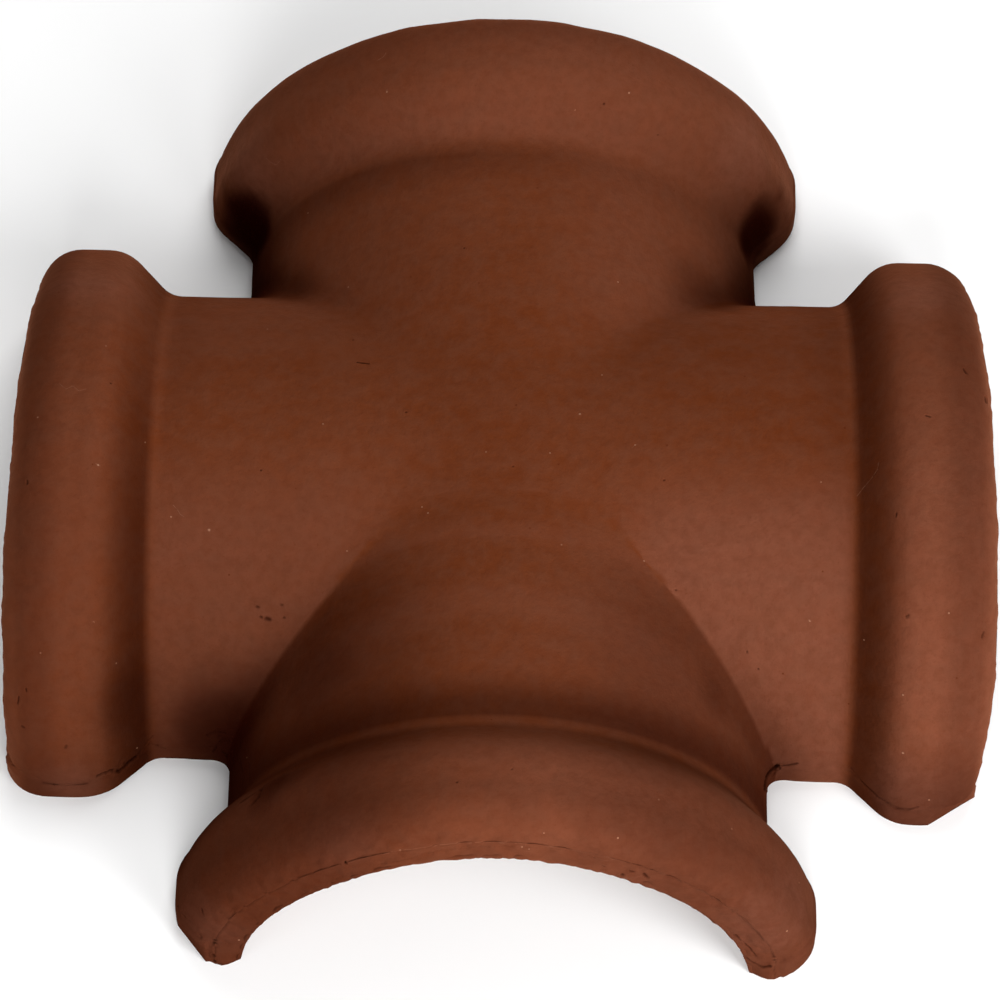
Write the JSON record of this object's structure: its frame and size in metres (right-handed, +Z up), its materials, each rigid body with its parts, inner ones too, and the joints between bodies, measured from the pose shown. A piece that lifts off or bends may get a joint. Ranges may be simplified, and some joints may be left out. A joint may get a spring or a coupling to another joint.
{
  "type": "four-way ridge tile",
  "caption": "Fired-clay roof fitting that covers the point where two ridges cross: two round barrels crossing level, each arm ending in a raised hollow collar.",
  "frame": {"origin": "on the bed plane, straight below the middle of the crossing", "axes": "+X and +Y along the two crossing barrels, +Z up from the bed through the crown"},
  "size_m": [0.42, 0.42, 0.1196],
  "materials": {
    "fired_clay": "brown slip over fired clay, dull satin, unglazed"
  },
  "bodies": {
    "root": {"four_way_ridge_tile": "fired_clay"}
  },
  "joints": []
}
